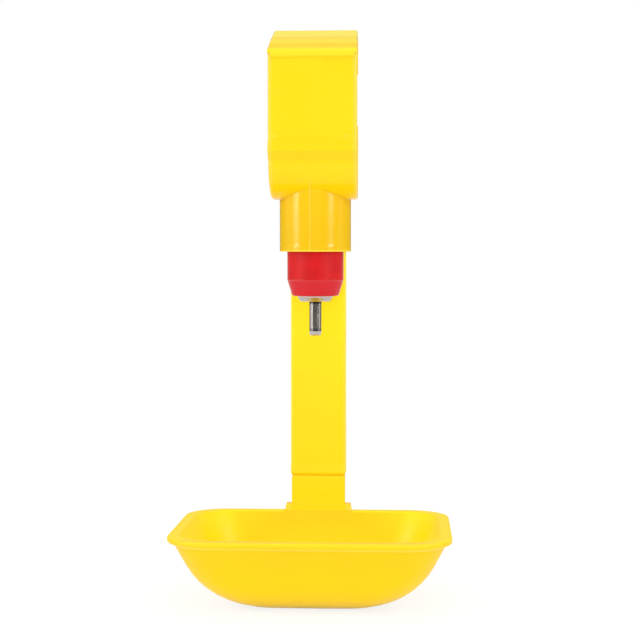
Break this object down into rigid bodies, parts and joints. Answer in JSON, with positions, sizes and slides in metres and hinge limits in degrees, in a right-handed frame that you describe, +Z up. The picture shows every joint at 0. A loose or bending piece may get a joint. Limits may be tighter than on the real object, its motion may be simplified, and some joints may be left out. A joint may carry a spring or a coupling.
{
  "type": "poultry drinking cup",
  "caption": "Hanging poultry drinker: a clip for a round water pipe with a nipple valve, an arm and a boat-shaped catch cup under the trigger pin.",
  "frame": {"origin": "on the axis of the water pipe, in the middle of the clip's width, straight above the nipple", "axes": "+X along the water pipe, +Y to the back, where the arm hangs, +Z up"},
  "size_m": [0.0782, 0.0621, 0.1632],
  "materials": {
    "clip_plastic": "moulded, soft sheen",
    "arm_plastic": "moulded, soft sheen",
    "cup_plastic": "moulded, soft sheen, slightly translucent",
    "housing_plastic": "moulded, semi-gloss",
    "cap_plastic": "moulded, plain",
    "sleeve_steel": "turned stainless steel",
    "pin_steel": "turned and polished stainless steel",
    "seal_rubber": "moulded, matt"
  },
  "bodies": {
    "drinker": {"clip_saddle": "clip_plastic", "pipe_gasket": "seal_rubber", "arm": "arm_plastic", "cup": "cup_plastic", "nipple_housing": "housing_plastic", "housing_o_ring": "seal_rubber", "inlet_cap": "cap_plastic", "valve_sleeve": "sleeve_steel", "seat_ring": "sleeve_steel", "seat_seal": "seal_rubber"},
    "stem": {"valve_stem": "pin_steel"},
    "trigger": {"trigger_pin": "pin_steel"}
  },
  "joints": [
    {"name": "valve_lift", "type": "slide", "parent": "drinker", "child": "stem", "axis": [0, 0, 1], "range_m": [0, 0.001]},
    {"name": "trigger_tilt", "type": "hinge", "parent": "stem", "child": "trigger", "pos_m": [0, 0, -0.0371], "axis": [1, 0, 0], "range_deg": [-6, 6]}
  ]
}
